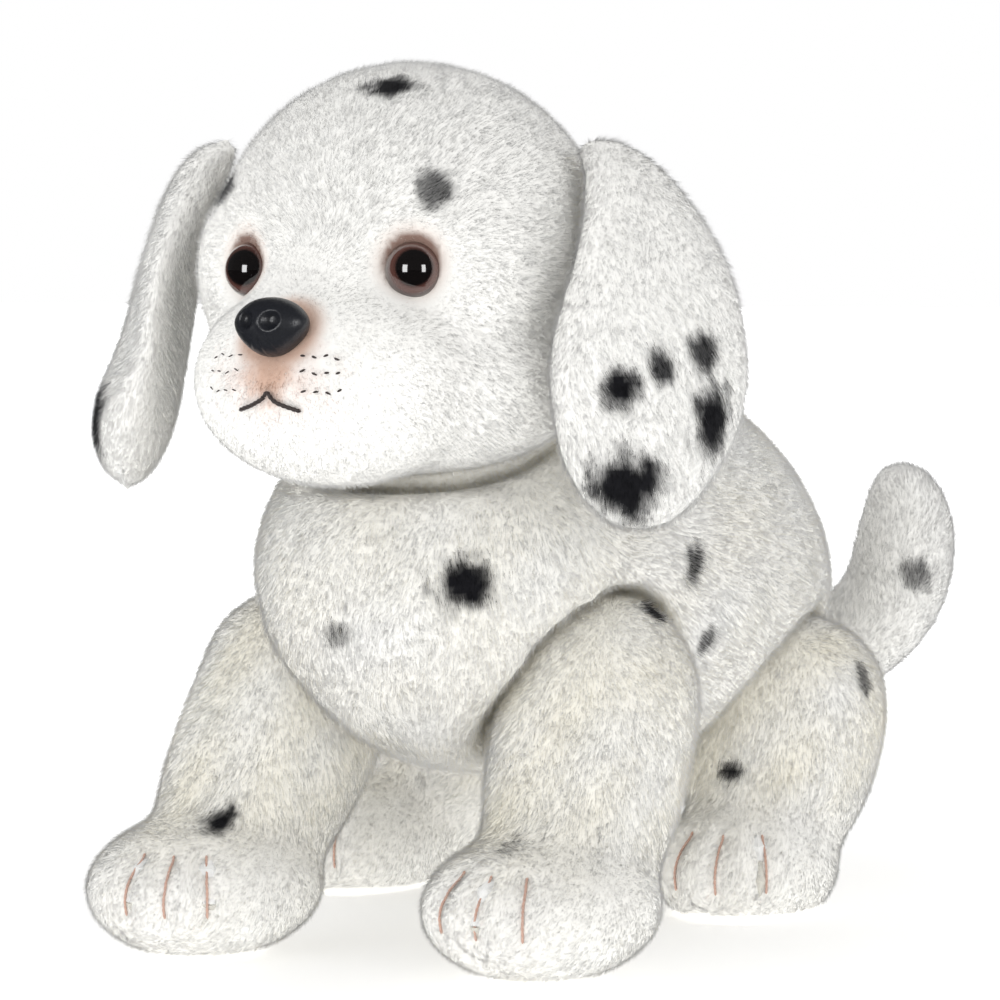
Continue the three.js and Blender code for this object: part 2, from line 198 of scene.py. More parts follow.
def pile_material(name, colour):
    """Polyester pile, brushed up from the knit: matt, and light passes a little way through each tuft."""
    material, tree = new_material(name)
    fibre = add_node(
        tree, "ShaderNodeBsdfPrincipled", Base_Color=opaque(colour), Roughness=0.78, IOR=1.45,
        Specular_IOR_Level=0.1, Sheen_Weight=0.1, Sheen_Roughness=0.5,
    )
    through = add_node(tree, "ShaderNodeBsdfTranslucent", Color=opaque(colour))
    both = add_node(tree, "ShaderNodeMixShader", Fac=0.45)
    tree.links.new(fibre.outputs[0], both.inputs[1])
    tree.links.new(through.outputs[0], both.inputs[2])
    add_node(tree, "ShaderNodeOutputMaterial", links={"Surface": (both, 0)})
    return material


def plush_ground_material():
    """Knitted ground of the plush under its pile: the airbrushed tint, darker at the width of a tuft in the
    hollows of its bump, a painted shade.
    """
    material, tree = new_material("plush_knitted_ground")
    place = add_node(tree, "ShaderNodeTexCoord")
    tint = add_node(tree, "ShaderNodeAttribute", {"attribute_name": "tint"})
    tufts = add_node(
        tree, "ShaderNodeTexNoise", links={"Vector": (place, "Object")},
        Scale=1 / (3 * MM), Detail=3.0, Roughness=0.6,
    )
    # Painted shade: the tint darkens where the bump is low.
    hollow_shade = add_node(
        tree, "ShaderNodeMapRange", links={"Value": (tufts, "Fac")}, To_Min=0.97, To_Max=1.02
    )
    shade = add_node(
        tree, "ShaderNodeVectorMath", {"operation": "SCALE"},
        links={"Vector": (tint, "Color"), "Scale": (hollow_shade, "Result")},
    )
    relief = add_node(tree, "ShaderNodeBump", links={"Height": (tufts, "Fac")}, Strength=0.2, Distance=0.0003)
    ground = add_node(
        tree, "ShaderNodeBsdfPrincipled",
        links={"Base Color": (shade, "Vector"), "Normal": (relief, "Normal")},
        Roughness=0.9, IOR=1.45, Specular_IOR_Level=0.1, Sheen_Weight=0.1, Sheen_Roughness=0.5,
    )
    add_node(tree, "ShaderNodeOutputMaterial", links={"Surface": (ground, 0)})
    return material


def filling_material(name, colour, lump):
    """Cloth or loose fibre inside the toy: matt, with lumps of the given size."""
    material, tree = new_material(name)
    place = add_node(tree, "ShaderNodeTexCoord")
    lumps = add_node(tree, "ShaderNodeTexNoise", links={"Vector": (place, "Object")}, Scale=1 / lump)
    # Darker where the lumps' bump is low: painted shade in its hollows.
    shade = add_node(
        tree, "ShaderNodeMix", {"data_type": "RGBA"}, {"Factor": (lumps, "Fac")},
        A=opaque([0.82 * c for c in colour]), B=opaque(colour),
    )
    relief = add_node(tree, "ShaderNodeBump", links={"Height": (lumps, "Fac")}, Strength=0.4, Distance=0.001)
    body = add_node(
        tree, "ShaderNodeBsdfPrincipled", None,
        {"Base Color": (shade, "Result"), "Normal": (relief, "Normal")}, Roughness=0.95, IOR=1.45,
    )
    add_node(tree, "ShaderNodeOutputMaterial", links={"Surface": (body, 0)})
    return material


def thread_material(name, colour):
    """Twisted polyester thread: a soft sheen and a painted highlight along each ply, with a little painted
    shade between the plies.
    """
    material, tree = new_material(name)
    place = add_node(tree, "ShaderNodeTexCoord")
    plies = add_node(
        tree, "ShaderNodeTexNoise", links={"Vector": (place, "Object")}, Scale=1 / (0.6 * MM), Detail=2.0
    )
    # The noise paints the thread lighter in places, a painted highlight, and darker in others, painted shade.
    shade = add_node(
        tree, "ShaderNodeMix", {"data_type": "RGBA"}, {"Factor": (plies, "Fac")},
        A=opaque([0.7 * c for c in colour]), B=opaque([min(1, 1.15 * c) for c in colour]),
    )
    body = add_node(
        tree, "ShaderNodeBsdfPrincipled", links={"Base Color": (shade, "Result")},
        Roughness=0.55, IOR=1.5, Sheen_Weight=0.3,
    )
    add_node(tree, "ShaderNodeOutputMaterial", links={"Surface": (body, 0)})
    return material


def eye_material():
    """Clear acrylic dome moulded over a printed iris: rings by distance from the axis, then gloss."""
    material, tree = new_material("acrylic_safety_eye")
    axis = add_node(tree, "ShaderNodeAttribute", {"attribute_name": "off_axis"})
    rings = add_node(tree, "ShaderNodeValToRGB", links={"Fac": (axis, "Fac")})
    stops = rings.color_ramp.elements
    iris = colours().iris
    pupil = (0.004, 0.003, 0.003)
    for position, colour in (
        (0.0, pupil), (0.6, pupil), (0.65, [0.5 * c for c in iris]), (0.74, iris),
        (0.84, [0.9 * c for c in iris]), (0.93, [0.25 * c for c in iris]), (1.0, pupil),
    ):
        stop = stops[0] if position == 0 else stops[-1] if position == 1 else stops.new(position)
        stop.color = opaque(colour)
    dome = add_node(
        tree, "ShaderNodeBsdfPrincipled", links={"Base Color": (rings, "Color")},
        Roughness=0.08, IOR=1.49, Coat_Weight=1.0, Coat_Roughness=0.02, Coat_IOR=1.49,
    )
    add_node(tree, "ShaderNodeOutputMaterial", links={"Surface": (dome, 0)})
    return material


def nose_material():
    """Soft PVC moulded in a grained tool: satin black, with fine pebbles that break the highlight."""
    material, tree = new_material("moulded_pvc_nose")
    place = add_node(tree, "ShaderNodeTexCoord")
    pebbles = add_node(
        tree, "ShaderNodeTexVoronoi", links={"Vector": (place, "Object")}, Scale=1 / (0.55 * MM)
    )
    # Lighter on the raised pebbles and darker in the grooves between them: painted light and shade on the
    # grain.
    shade = add_node(
        tree, "ShaderNodeMix", {"data_type": "RGBA"}, {"Factor": (pebbles, "Distance")},
        A=opaque([1.25 * c for c in colours().nose]), B=opaque([0.8 * c for c in colours().nose]),
    )
    relief = add_node(
        tree, "ShaderNodeBump", {"invert": True}, links={"Height": (pebbles, "Distance")},
        Strength=0.25, Distance=0.00015,
    )
    body = add_node(
        tree, "ShaderNodeBsdfPrincipled", None,
        {"Base Color": (shade, "Result"), "Normal": (relief, "Normal")}, Roughness=0.36, IOR=1.53,
    )
    add_node(tree, "ShaderNodeOutputMaterial", links={"Surface": (body, 0)})
    return material


# ---------- forms, in pattern millimetres ----------

TORSO = [
    (0, -127, 120, 62, 56), (0, -88, 115, 68, 65), (0, -40, 113, 69, 67),
    (0, 10, 111, 72, 71), (0, 62, 101, 75, 70), (0, 128, 84, 70, 61),
]
SKULL = (0, -88, 207, 65, 52, 61)
MUZZLE = (0, -128, 173, 46, 35, 32)
JAW = (0, -97, 174, 64, 45, 32)
BRIDGE = (0, -126, 205, 24, 19, 18)  # between the eyes
TEMPLES = [(side * 36, -108, 205, 25, 23, 32) for side in (-1, 1)]
HEAD_ROOMS = [(0, -86, 207, 67, 54, 63), (0, -98, 172.5, 67, 49, 34)]
# Both ears are drawn on the left. The right one, thinner to halfway down, is then mirrored.
EARS = {
    "left": [
        (56, -84, 243, 12, 8), (71, -86, 231, 17, 11), (82, -89, 206, 27, 13),
        (84, -92, 178, 34, 15), (83, -94, 152, 33, 15.5), (82, -93, 129, 28, 14),
    ],
    "right": [
        (56, -84, 243, 12, 8), (67, -86, 231, 17, 10), (74, -89, 206, 27, 8.5),
        (76, -92, 178, 33, 9), (82, -94, 154, 33, 15), (83, -93, 134, 28, 15),
    ],
}
EAR_SIDE = np.array((0.5, 0.866, 0))
RIGHT_EAR_SHIFT = (-4, -8, 2)
RIGHT_EAR_FLARE = math.radians(4)
TAIL = [
    (6, 108, 72, 19, 19), (26, 132, 72, 20, 20), (45, 144, 90, 20, 20),
    (52, 144, 116, 21, 21), (50, 139, 142, 21, 21),
]
NECK_RADIUS = 44
TORSO_FULLNESS = 2.4  # how square its ends are: 2 is an ellipse
LEG_FULLNESS = 2.6
LEG_ROOM = 0.8
TAIL_ROOM = 1.0
BELLY_SEAM_HEIGHT = 62
CHIN_SEAM_HEIGHT = 166
GUSSET_HALF = 16
# Each leg: its paw's ellipsoid, the column or haunch above it, and where its toe stitches turn to.
LEGS = {
    "front_left": {
        "foot": (50, -95, 20), "reach": (37, 42, 24), "toes": (-27, 0, 25),
        "column": [
            (49, -50, 110, 25, 28), (50, -58, 88, 32, 35), (50, -68, 62, 32, 34),
            (50, -77, 34, 31, 32), (50, -81, 6, 28, 30),
        ],
    },
    "front_right": {
        "foot": (-56, -116, 20), "reach": (37, 42, 24), "toes": (-4, 19, 41),
        "column": [
            (-49, -60, 110, 25, 28), (-50, -68, 88, 32, 35), (-52, -83, 62, 32, 34),
            (-56, -98, 34, 31, 32), (-56, -102, 6, 28, 30),
        ],
    },
    "hind_left": {
        "foot": (49, 34, 14), "reach": (30, 40, 25), "toes": (-20, 14, 48),
        "column": [
            (46, 66, 95, 29, 32), (48, 62, 70, 35, 41), (48, 54, 38, 33, 38), (49, 46, 8, 28, 34),
        ],
    },
    "hind_right": {
        "foot": (-84, 12, 14), "reach": (30, 40, 25), "toes": (-42, -12, 20),
        "column": [
            (-46, 62, 92, 28, 30), (-52, 58, 68, 34, 40), (-67, 46, 38, 33, 38), (-82, 34, 8, 29, 35),
        ],
    },
}
EYE = (28, -129, 205)
EYE_FACING = (0.24, -0.96, 0.12)
GAZE = (0.42, 0, 0)  # the printed pupils look a little to the puppy's left
EYE_RADIUS = 8.2
NOSE = (0, -158.5, 189)
NOSE_RADII = (12, 8, 8.4)


def spline(rows, at):
    """Points of a Catmull-Rom curve through the rows, for values from 0 to 1."""
    rows = np.asarray(rows, float)
    padded = np.vstack((2 * rows[0] - rows[1], rows, 2 * rows[-1] - rows[-2]))
    place = np.clip(at, 0, 1) * (len(rows) - 1)
    first = np.minimum(place.astype(int), len(rows) - 2)
    t = (place - first)[:, None]
    a, b, c, d = (padded[first + k] for k in range(4))
    return 0.5 * (2 * b + (c - a) * t + (2 * a - 5 * b + 4 * c - d) * t**2 + (3 * b - a - 3 * c + d) * t**3)


def globe(around=48, along=32):
    """Rings of a unit sphere: the cosines down it, the angles round it, and its faces."""
    cosines = np.cos(np.linspace(0, math.pi, along + 1))[1:-1]
    angles = np.linspace(0, 2 * math.pi, around, endpoint=False)
    faces = [(0, 1 + (k + 1) % around, 1 + k) for k in range(around)]
    for ring in range(along - 2):
        low, high = 1 + ring * around, 1 + (ring + 1) * around
        faces += [(low + k, low + (k + 1) % around, high + (k + 1) % around, high + k) for k in range(around)]
    last = 1 + (along - 2) * around
    end = last + around
    faces += [(end, last + k, last + (k + 1) % around) for k in range(around)]
    return cosines, angles, faces


def soft_form(stations, inset=0.0, side=(1, 0, 0), fullness=2.3):
    """A stuffed form along a spine, with round ends. A station is x, y, z, half width and half depth."""
    cosines, angles, faces = globe()
    stations = np.asarray(stations, float)
    fine = spline(stations, np.linspace(0, 1, 60))[:, :3]
    length = np.linalg.norm(np.diff(fine, axis=0), axis=1).sum()
    short = inset / length
    share = (1 - np.concatenate(([1], cosines, [-1]))) / 2
    raw = short + share * (1 - 2 * short)
    at = np.clip(raw, 0, 1)
    step = 1e-3
    middle = spline(stations, at)
    before, after = (spline(stations, np.clip(at + shift, 0, 1))[:, :3] for shift in (-step, step))
    ahead = after - before
    tangent = ahead / np.linalg.norm(ahead, axis=1)[:, None]
    centre = middle[:, :3] + tangent * ((raw - at) * length)[:, None]
    side = np.asarray(side, float)
    across = side - tangent * (tangent @ side)[:, None]
    across /= np.linalg.norm(across, axis=1)[:, None]
    deep = np.cross(tangent, across)
    cap = (1 - np.abs(1 - 2 * share) ** fullness) ** (1 / fullness)
    wide, thick = cap * (middle[:, 3] - inset), cap * (middle[:, 4] - inset)
    rings = (
        centre[1:-1, None]
        + across[1:-1, None] * (wide[1:-1, None] * np.cos(angles))[:, :, None]
        + deep[1:-1, None] * (thick[1:-1, None] * np.sin(angles))[:, :, None]
    )
    points = np.vstack((centre[:1], rings.reshape(-1, 3), centre[-1:]))
    return points, faces


def unit_ball(around=48, along=32):
    cosines, angles, faces = globe(around, along)
    sines = np.sqrt(1 - cosines**2)[:, None]
    heights = np.repeat(cosines[:, None], around, 1)
    rings = np.stack((sines * np.cos(angles), sines * np.sin(angles), heights), -1)
    return np.vstack(((0, 0, 1), rings.reshape(-1, 3), (0, 0, -1))), [face[::-1] for face in faces]


def ellipsoid(row, inset=0.0):
    """A closed ellipsoid from a row of x, y, z and three radii."""
    unit, faces = unit_ball()
    return unit * (np.array(row[3:]) - inset) + np.array(row[:3]), faces


def turned(points, pivot, axis, angle):
    """Points turned about an axis through the pivot."""
    axis = np.asarray(axis, float) / np.linalg.norm(axis)
    arm = points - np.asarray(pivot)
    along = np.outer(arm @ axis, axis)
    return pivot + along + (arm - along) * math.cos(angle) + np.cross(axis, arm) * math.sin(angle)


def ear_points(side, inset=0.0):
    points, faces = soft_form(EARS[side], inset, side=EAR_SIDE)
    if side == "left":
        return points, faces
    mirrored = points * (-1, 1, 1) + np.array(RIGHT_EAR_SHIFT)
    root = np.array(EARS[side][0][:3]) * (-1, 1, 1) + np.array(RIGHT_EAR_SHIFT)
    return turned(mirrored, root, EAR_SIDE * (-1, 1, 1), RIGHT_EAR_FLARE), [f[::-1] for f in faces]


# ---------- meshes ----------


def outward(points, faces):
    """The same faces, turned round if they close a negative volume."""
    volume = 0.0
    for face in faces:
        for k in range(1, len(face) - 1):
            volume += np.dot(points[face[0]], np.cross(points[face[k]], points[face[k + 1]]))
    return faces if volume > 0 else [face[::-1] for face in faces]


def object_of(name, forms):
    """One object that holds closed forms, given in pattern millimetres."""
    points, faces, start = [], [], 0
    for form_points, form_faces in forms:
        form_faces = outward(form_points, form_faces)
        points.append(in_frame(form_points))
        faces += [tuple(start + i for i in face) for face in form_faces]
        start += len(form_points)
    mesh = bpy.data.meshes.new(name)
    mesh.from_pydata(np.vstack(points).tolist(), [], faces)
    mesh.update()
    piece = bpy.data.objects.new(name, mesh)
    bpy.context.scene.collection.objects.link(piece)
    return piece


def add_modifier(piece, kind, **settings):
    modifier = piece.modifiers.new(kind.title(), kind)
    for name, value in settings.items():
        setattr(modifier, name, value)
    return modifier


def apply_modifiers(piece):
    graph = bpy.context.evaluated_depsgraph_get()
    made = bpy.data.meshes.new_from_object(piece.evaluated_get(graph))
    piece.modifiers.clear()
    old = piece.data
    piece.data = made
    made.name = piece.name
    bpy.data.meshes.remove(old)


def coordinates(piece):
    flat = np.empty(len(piece.data.vertices) * 3)
    piece.data.vertices.foreach_get("co", flat)
    return flat.reshape(-1, 3)


def normals(piece):
    flat = np.empty(len(piece.data.vertices) * 3)
    piece.data.vertices.foreach_get("normal", flat)
    return flat.reshape(-1, 3)


def move_points(piece, points):
    piece.data.vertices.foreach_set("co", np.ascontiguousarray(points, float).ravel())
    piece.data.update()


def remesh(piece, cutters=(), voxel=None, smoothing=8):
    """Joins a piece's forms into one skin, less its cutters, on an even grid, and rounds the joins."""
    for cutter in cutters:
        add_modifier(piece, "BOOLEAN", object=cutter, operation="DIFFERENCE", solver="EXACT")
    add_modifier(piece, "REMESH", mode="VOXEL", voxel_size=voxel or cloth().voxel)
    add_modifier(piece, "SMOOTH", factor=0.5, iterations=smoothing)
    apply_modifiers(piece)
    for cutter in cutters:
        bpy.data.meshes.remove(cutter.data)


def fill(piece, seams, firmness=0.6):
    """Fills a skin: the cloth swells under pressure, held at its seams, and is kept within a cap."""
    start = coordinates(piece)
    held = piece.vertex_groups.new(name="seams")
    held.add([int(i) for i in np.flatnonzero(seams)], 1.0, "REPLACE")
    modifier = add_modifier(piece, "CLOTH")
    settings = modifier.settings
    settings.quality = 4
    settings.mass = 0.2
    settings.tension_stiffness = settings.compression_stiffness = settings.shear_stiffness = 8
    settings.bending_stiffness = 0.6
    settings.use_pressure = True
    settings.uniform_pressure_force = cloth().pressure * firmness
    settings.effector_weights.gravity = 0
    settings.vertex_group_mass = "seams"
    scene = bpy.context.scene
    frames = 20
    modifier.point_cache.frame_start, modifier.point_cache.frame_end = 1, frames
    for number in range(1, frames + 1):
        scene.frame_set(number)
    apply_modifiers(piece)
    scene.frame_set(1)
    piece.vertex_groups.clear()
    swelled = coordinates(piece) - start
    size = np.linalg.norm(swelled, axis=1)
    scale = np.minimum(1, cloth().swell / np.maximum(size, 1e-9))
    move_points(piece, start + swelled * scale[:, None])
    add_modifier(piece, "SUBSURF", levels=1, render_levels=1)
    add_modifier(piece, "SMOOTH", factor=0.5, iterations=3)
    apply_modifiers(piece)


def press(piece, lines, depth, width):
    """Draws the skin in along lines of pattern points, as a pulled stitch does."""
    points, out = coordinates(piece), normals(piece)
    away = np.full(len(points), np.inf)
    for line in lines:
        for spot in in_frame(line):
            away = np.minimum(away, np.linalg.norm(points - spot, axis=1))
    move_points(piece, points - out * (depth * MM * np.exp(-((away / (width * MM)) ** 2)))[:, None])


def shade_smooth(piece):
    piece.data.polygons.foreach_set("use_smooth", [True] * len(piece.data.polygons))


def surface_tree(piece):
    return BVHTree.FromPolygons(coordinates(piece).tolist(), [tuple(p.vertices) for p in piece.data.polygons])


def finish_skin(piece, body, *replaced):
    shade_smooth(piece)
    SKINS[body] = piece
    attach(piece, body)
    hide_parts(*replaced)


# ---------- where the airbrush went, in pattern millimetres ----------

SPOT_EDGE = (0.5, 1.4)  # each spot fades out between these shares of its half sizes
# Body, centre, half sizes along x, y and z, and how dark it is.
SPOTS = [
    ("head", (9, -112, 258), (7.5, 6, 5), 1.0),
    ("head", (34, -127, 228), (5.8, 7, 5.8), 0.85),
    ("head", (-46, -118, 229), (6, 7, 6), 0.9),
    ("ear_left", (86, -112, 172), (6, 6, 6.2), 1.0),
    ("ear_left", (93, -102, 177), (5, 4, 5.4), 0.95),
    ("ear_left", (99, -89, 182), (6, 5, 6.2), 0.95),
    ("ear_left", (101, -86, 162), (8, 7, 11), 1.0),
    ("ear_left", (85, -107, 144), (10.5, 12, 10.5), 1.0),
    ("ear_right", (-95, -124, 160), (9, 12, 11), 1.0),
    ("torso", (36, -114, 115), (9, 9, 7.6), 1.0),
    ("torso", (68, -33, 116), (8, 5, 6.5), 0.85),
    ("front_left", (66, -56, 104), (6, 6, 4), 1.0),
    ("torso", (64, -21, 92), (8, 4, 4.5), 0.75),
    ("torso", (-61, -104, 112), (6, 5, 4.5), 0.9),
    ("torso", (-3, -124, 99), (5, 7, 4), 0.6),
    ("front_right", (-44, -126, 42), (5.5, 7, 4), 1.0),
    ("front_left", (49, -114, 43), (9, 7, 4), 0.6),
    ("hind_left", (50, 19, 46), (5.2, 8, 3.2), 1.0),
    ("torso", (76, 66, 88), (8, 6, 6), 0.9),
    ("hind_left", (81, 58, 74), (7, 4.5, 7), 0.75),
    ("tail", (63, 131, 101), (7, 6, 6.5), 0.75),
    # the sides that only other views show
    ("torso", (34, 34, 176), (11, 10, 12), 1.0),
    ("torso", (-24, 4, 180), (12, 11, 12), 1.0),
    ("torso", (-50, 58, 156), (9, 8, 10), 1.0),
    ("torso", (6, 100, 140), (11, 11, 11), 1.0),
    ("torso", (-68, 12, 128), (12, 10, 9), 1.0),
    ("torso", (-66, -26, 104), (9, 6, 6), 0.9),
    ("torso", (-58, 100, 112), (9, 9, 9), 1.0),
    ("torso", (54, 96, 122), (8, 7, 7), 1.0),
    ("head", (-22, -58, 256), (10, 9, 9), 1.0),
    ("head", (32, -46, 232), (10, 9, 9), 1.0),
    ("head", (-36, -44, 212), (8, 8, 8), 1.0),
    ("ear_right", (-106, -84, 190), (8, 6, 6), 1.0),
    ("ear_right", (-106, -76, 168), (9, 7, 9), 1.0),
    ("ear_right", (-94, -96, 212), (7, 5, 5), 0.9),
    ("front_right", (-80, -72, 74), (9, 8, 8), 1.0),
    ("front_right", (-84, -94, 44), (7, 6, 5), 0.9),
    ("hind_right", (-80, 58, 62), (9, 9, 9), 1.0),
    ("hind_right", (-70, 22, 32), (7, 5, 4), 0.9),
    ("hind_left", (60, 94, 48), (8, 8, 8), 1.0),
    ("tail", (52, 164, 112), (8, 8, 8), 1.0),
    ("tail", (34, 140, 148), (7, 6, 6), 0.8),
]


def waves(points, size, seed):
    """Smooth noise from -1 to 1 that varies over the given size in millimetres."""
    draw = np.random.default_rng(seed)
    total = np.zeros(len(points))
    count = 9
    for _ in range(count):
        direction = draw.normal(size=3)
        direction *= 2 * math.pi / size * draw.uniform(0.6, 1.5) / np.linalg.norm(direction)
        total += np.sin(points @ direction + draw.uniform(0, 2 * math.pi))
    return total / math.sqrt(count)


def ramp(values, full, none):
    """1 up to full, 0 from none, and smooth between."""
    t = np.clip((none - values) / (none - full), 0, 1)
    return t * t * (3 - 2 * t)


def near(points, centre, radii):
    return np.linalg.norm((points - np.array(centre)) / np.array(radii), axis=1)


def toe_lines(name):
    """Three stitches between the four toes, each from the top of the paw to its front edge."""
    foot, reach = np.array(LEGS[name]["foot"]), np.array(LEGS[name]["reach"])
    lines = []
    for turn in LEGS[name]["toes"]:
        a = math.radians(turn)
        heights = np.radians(np.linspace(-12, 40, 28))
        level = np.cos(heights)
        lines.append(foot + reach * np.stack((math.sin(a) * level, -math.cos(a) * level, np.sin(heights)), 1))
    return lines


def airbrush(points, body):
    """How much black, brown, tan, pink and cream each pattern point has, from 0 to 1; the brown dots low on
    the toe grooves are painted shade.
    """
    wobble = 1 + 0.16 * waves(points, 7, 31) + 0.1 * waves(points, 2.6, 32)
    black = np.zeros(len(points))
    for owner, centre, radii, strength in SPOTS:
        if owner == body:
            black = np.maximum(black, strength * ramp(near(points, centre, radii) * wobble, *SPOT_EDGE))
    brown, tan, pink, cream = (np.zeros(len(points)) for _ in range(4))
    if body == "head":
        for side in (-1, 1):
            eye = (side * EYE[0], EYE[1], EYE[2])
            over = (eye[0], eye[1], eye[2] + 2.2)  # the brush runs over each eye's upper rim
            brown = np.maximum(brown, 0.85 * ramp(near(points, over, (1, 1, 1)), 7.8, 9.8))
            tan = np.maximum(tan, 0.3 * ramp(near(points, over, (1, 1, 1)), 8.5, 14))
        tan = np.maximum(tan, 0.85 * ramp(near(points, NOSE, (14, 14, 12)), 0.8, 1.25))
        tan = np.maximum(tan, 0.85 * ramp(near(points, (0, -158, 176), (9, 14, 9)) * wobble, 0.4, 1.25))
        pink = 0.3 * ramp(near(points, (0, -156, 174), (22, 16, 15)) * wobble, 0.3, 1.2)
    if body in LEGS:
        for line in toe_lines(body):
            for k, spot in enumerate(line):
                size = 2.6 if k < 8 else 1.7
                pink = np.maximum(pink, 0.55 * ramp(near(points, spot, (size,) * 3) * wobble, 0.4, 1.7))
            # A brown dot at the low end of each toe stitch: painted shade in the groove.
            low = line[3]
            brown = np.maximum(brown, 0.85 * ramp(near(points, low, (1.6, 3, 2.2)), 0.5, 1.3))
        cream = (0.5 + 0.2 * waves(points, 30, 41)) * (1 - 0.8 * ramp(points[:, 2], 24, 46))
    if body in ("torso", "neck"):
        cream = 0.22 + 0.12 * waves(points, 40, 42)
    return {"black": black, "brown": brown, "tan": tan, "pink": pink, "cream": np.clip(cream, 0, 1)}


def tint_skin(piece, body):
    """Paints the ground cloth with the same airbrush as the pile."""
    amounts = airbrush(in_pattern(coordinates(piece)), body)
    palette = colours()
    tint = np.tile(np.array(palette.warm), (len(piece.data.vertices), 1))
    for name in ("cream", "pink", "tan", "brown", "black"):
        share = amounts[name][:, None]
        tint = tint * (1 - share) + np.array(getattr(palette, name)) * share
    layer = piece.data.attributes.new("tint", "FLOAT_COLOR", "POINT")
    layer.data.foreach_set("color", np.hstack((tint, np.ones((len(tint), 1)))).ravel())


# ---------- pile ----------

FULL_PILE_ROOM = 6  # millimetres to the next skin beyond which pile is free
LEAST_ROOM = 0.12  # share of that below which no pile grows
PILE_SLOTS = ("white", "warm", "cream", "black", "grey", "tan", "brown", "pink")


def flow_at(points, body):
    """The way that the pile is combed, in pattern axes."""
    flow = np.zeros_like(points)
    if body == "head":
        flow = points - np.array((0, -150, 196))
        flow /= np.linalg.norm(flow, axis=1)[:, None]
        flow += np.array((0, 0.25, -0.35))
    elif body.startswith("ear"):
        flow[:] = (0, -0.1, -1)
        flow[:, 0] = 0.25 * np.sign(points[:, 0])
    elif body == "tail":
        flow[:] = (0.15, 0.1, 1)
    elif body in LEGS:
        low = ramp(points[:, 2], 26, 52)
        flow[:, 1] = -0.1 - 0.9 * low
        flow[:, 2] = -1 + 0.35 * low
    else:
        front = ramp(points[:, 1], -100, -50)
        flow[:, 1] = 0.9 * (1 - front)
        flow[:, 2] = -0.45 - 0.55 * front
    flow[:, 0] += 0.22 * waves(points, 24, 51)
    flow[:, 1] += 0.22 * waves(points, 24, 52)
    flow[:, 2] += 0.22 * waves(points, 24, 53)
    return flow


def pile_height(points, body):
    """Length of the pile against the body's, shorter on the face, between the toes and by the fittings."""
    scale = np.ones(len(points))
    if body == "head":
        scale *= 0.8
        scale *= 1 - 0.4 * ramp(near(points, (0, -150, 182), (46, 34, 32)), 0.7, 1.3)
        for side in (-1, 1):
            eye = (side * EYE[0], EYE[1], EYE[2])
            scale *= 1 - 0.72 * ramp(near(points, eye, (1, 1, 1)), 9.5, 17)
        scale *= 1 - 0.6 * ramp(near(points, NOSE, NOSE_RADII), 1.15, 1.9)
    elif body.startswith("ear"):
        scale *= 0.95
    elif body in LEGS:
        scale *= 1 - 0.25 * ramp(points[:, 2], 22, 46)
        for line in toe_lines(body):
            for spot in line:
                scale *= 1 - 0.22 * ramp(near(points, spot, (1, 1, 1)), 1.2, 4.5)
    return scale


def roots_on(piece, density, draw):
    """Random places over a skin, with the outward direction at each."""
    mesh = piece.data
    mesh.calc_loop_triangles()
    corners = np.empty(len(mesh.loop_triangles) * 3, int)
    mesh.loop_triangles.foreach_get("vertices", corners)
    corners = corners.reshape(-1, 3)
    points, out = coordinates(piece), normals(piece)
    a, b, c = (points[corners[:, k]] for k in range(3))
    area = np.linalg.norm(np.cross(b - a, c - a), axis=1) / 2
    count = int(area.sum() / MM**2 * density)
    chosen = draw.choice(len(corners), count, p=area / area.sum())
    u, v = draw.random(count), draw.random(count)
    over = u + v > 1
    u[over], v[over] = 1 - u[over], 1 - v[over]
    weights = np.stack((1 - u - v, u, v), 1)[:, :, None]
    roots = (points[corners[chosen]] * weights).sum(1)
    directions = (out[corners[chosen]] * weights).sum(1)
    return roots, directions / np.linalg.norm(directions, axis=1)[:, None]


def room_for_pile(roots, body):
    """How much of its length each tuft has before it meets another body's skin, from 0 to 1."""
    reach = FULL_PILE_ROOM * MM
    room = np.ones(len(roots))
    for other, skin in SKINS.items():
        if other == body:
            continue
        points = coordinates(skin)
        low, high = points.min(0) - reach, points.max(0) + reach
        close = np.flatnonzero(((roots > low) & (roots < high)).all(1) & (room > 0))
        if not len(close):
            continue
        tree = surface_tree(skin)
        for index in close:
            spot, normal, _, away = tree.find_nearest(roots[index], reach)
            if spot is None:
                continue
            inside = (Vector(roots[index]) - spot).dot(normal) < 0
            room[index] = 0 if inside else min(room[index], away / reach)
    return room


def choose_slots(points, body, room, draw):
    """A pile colour for each tuft, drawn by how much of each the airbrush left there, and cream as painted
    shade on tufts in the creases where another piece is near.
    """
    amounts = airbrush(points, body)
    dice = draw.random(len(points))
    slots = np.where(draw.random(len(points)) < 0.35, PILE_SLOTS.index("warm"), PILE_SLOTS.index("white"))
    # Tufts with little room before another piece turn cream: painted shade in the creases between pieces.
    crease = ramp(room, 0.35, 1.0)
    slots[dice < np.clip(0.55 * amounts["cream"] + 0.75 * crease, 0, 1)] = PILE_SLOTS.index("cream")
    for name in ("pink", "tan", "brown"):
        slots[draw.random(len(points)) < amounts[name]] = PILE_SLOTS.index(name)
    dark = amounts["black"]
    slots[draw.random(len(points)) < dark * 1.15 - 0.05] = PILE_SLOTS.index("grey")
    slots[draw.random(len(points)) < dark**1.3] = PILE_SLOTS.index("black")
    return slots


